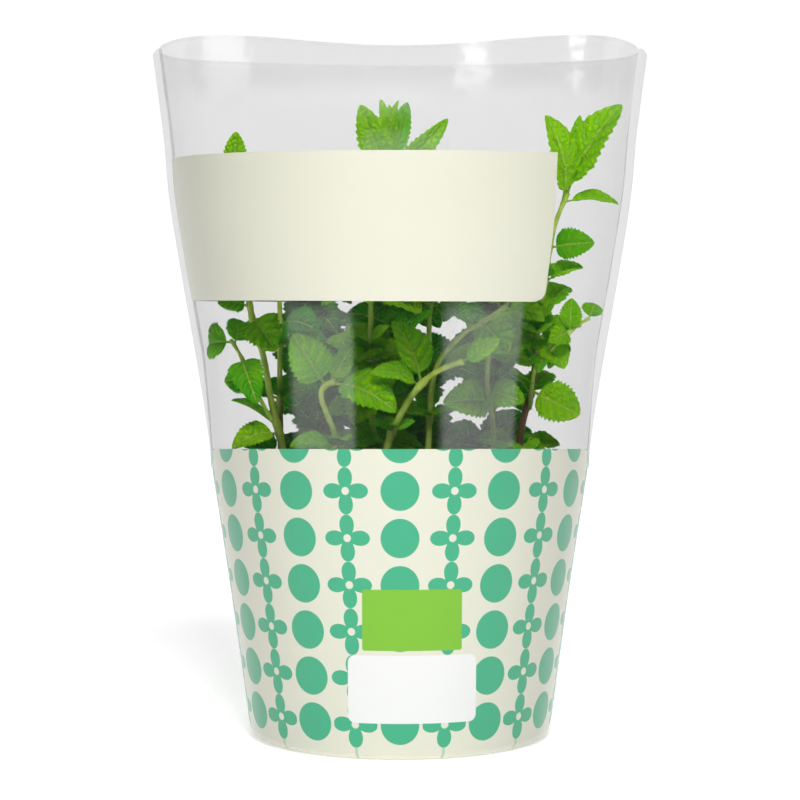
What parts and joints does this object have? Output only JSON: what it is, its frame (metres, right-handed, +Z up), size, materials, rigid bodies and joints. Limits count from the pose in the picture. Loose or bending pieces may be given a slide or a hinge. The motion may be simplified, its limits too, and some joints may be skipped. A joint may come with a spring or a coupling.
{
  "type": "potted mint plant in a film sleeve",
  "caption": "Leafy mint shoots growing in a round tapered grow pot, wrapped in a flared film sleeve that is printed up to the rim and clear above.",
  "frame": {"origin": "centre of the sleeve's foot, on the surface it stands on", "axes": "+Z up, -Y is the front with the print, +X to the right seen from the front"},
  "size_m": [0.1696, 0.1563, 0.2405],
  "materials": {
    "film": "thin clear film, glossy, with a cream and mint green print on its lower part and a cream band above",
    "pot": "thin black thermoformed plastic",
    "soil": "damp fibrous peat and bark crumbs",
    "stem": "square green stem, slightly ridged, satin",
    "leaf": "toothed green leaf, quilted between its veins, paler beneath"
  },
  "bodies": {
    "root": {"leaf_back_1": "leaf", "leaf_back_left_1": "leaf", "leaf_back_right_1": "leaf", "leaf_centre_1": "leaf", "leaf_centre_2": "leaf", "leaf_centre_3": "leaf", "leaf_centre_4": "leaf", "leaf_centre_5": "leaf", "leaf_curl_1": "leaf", "leaf_curl_2": "leaf", "leaf_curl_3": "leaf", "leaf_front_1": "leaf", "leaf_front_2": "leaf", "leaf_front_3": "leaf", "leaf_left_1": "leaf", "leaf_left_2": "leaf", "leaf_left_3": "leaf", "leaf_left_4": "leaf", "leaf_left_5": "leaf", "leaf_left_back_1": "leaf", "leaf_left_side_1": "leaf", "leaf_left_side_2": "leaf", "leaf_left_side_3": "leaf", "leaf_left_side_4": "leaf", "leaf_mid_back_1": "leaf", "leaf_mid_back_2": "leaf", "leaf_pale_1": "leaf", "leaf_pale_2": "leaf", "leaf_right_1": "leaf", "leaf_right_2": "leaf", "leaf_right_3": "leaf", "leaf_right_4": "leaf", "leaf_right_top_1": "leaf", "leaf_right_top_2": "leaf", "leaf_right_top_3": "leaf", "leaf_right_top_4": "leaf", "leaf_right_top_5": "leaf", "leaf_slant_1": "leaf", "leaf_slant_2": "leaf", "leaf_slant_3": "leaf", "leaf_upright_1": "leaf", "leaf_upright_2": "leaf", "pot": "pot", "sleeve": "film", "soil": "soil", "stem_back": "stem", "stem_back_left": "stem", "stem_back_right": "stem", "stem_centre": "stem", "stem_curl": "stem", "stem_front": "stem", "stem_left": "stem", "stem_left_back": "stem", "stem_left_side": "stem", "stem_mid_back": "stem", "stem_pale": "stem", "stem_right": "stem", "stem_right_top": "stem", "stem_slant": "stem", "stem_upright": "stem"}
  },
  "joints": []
}
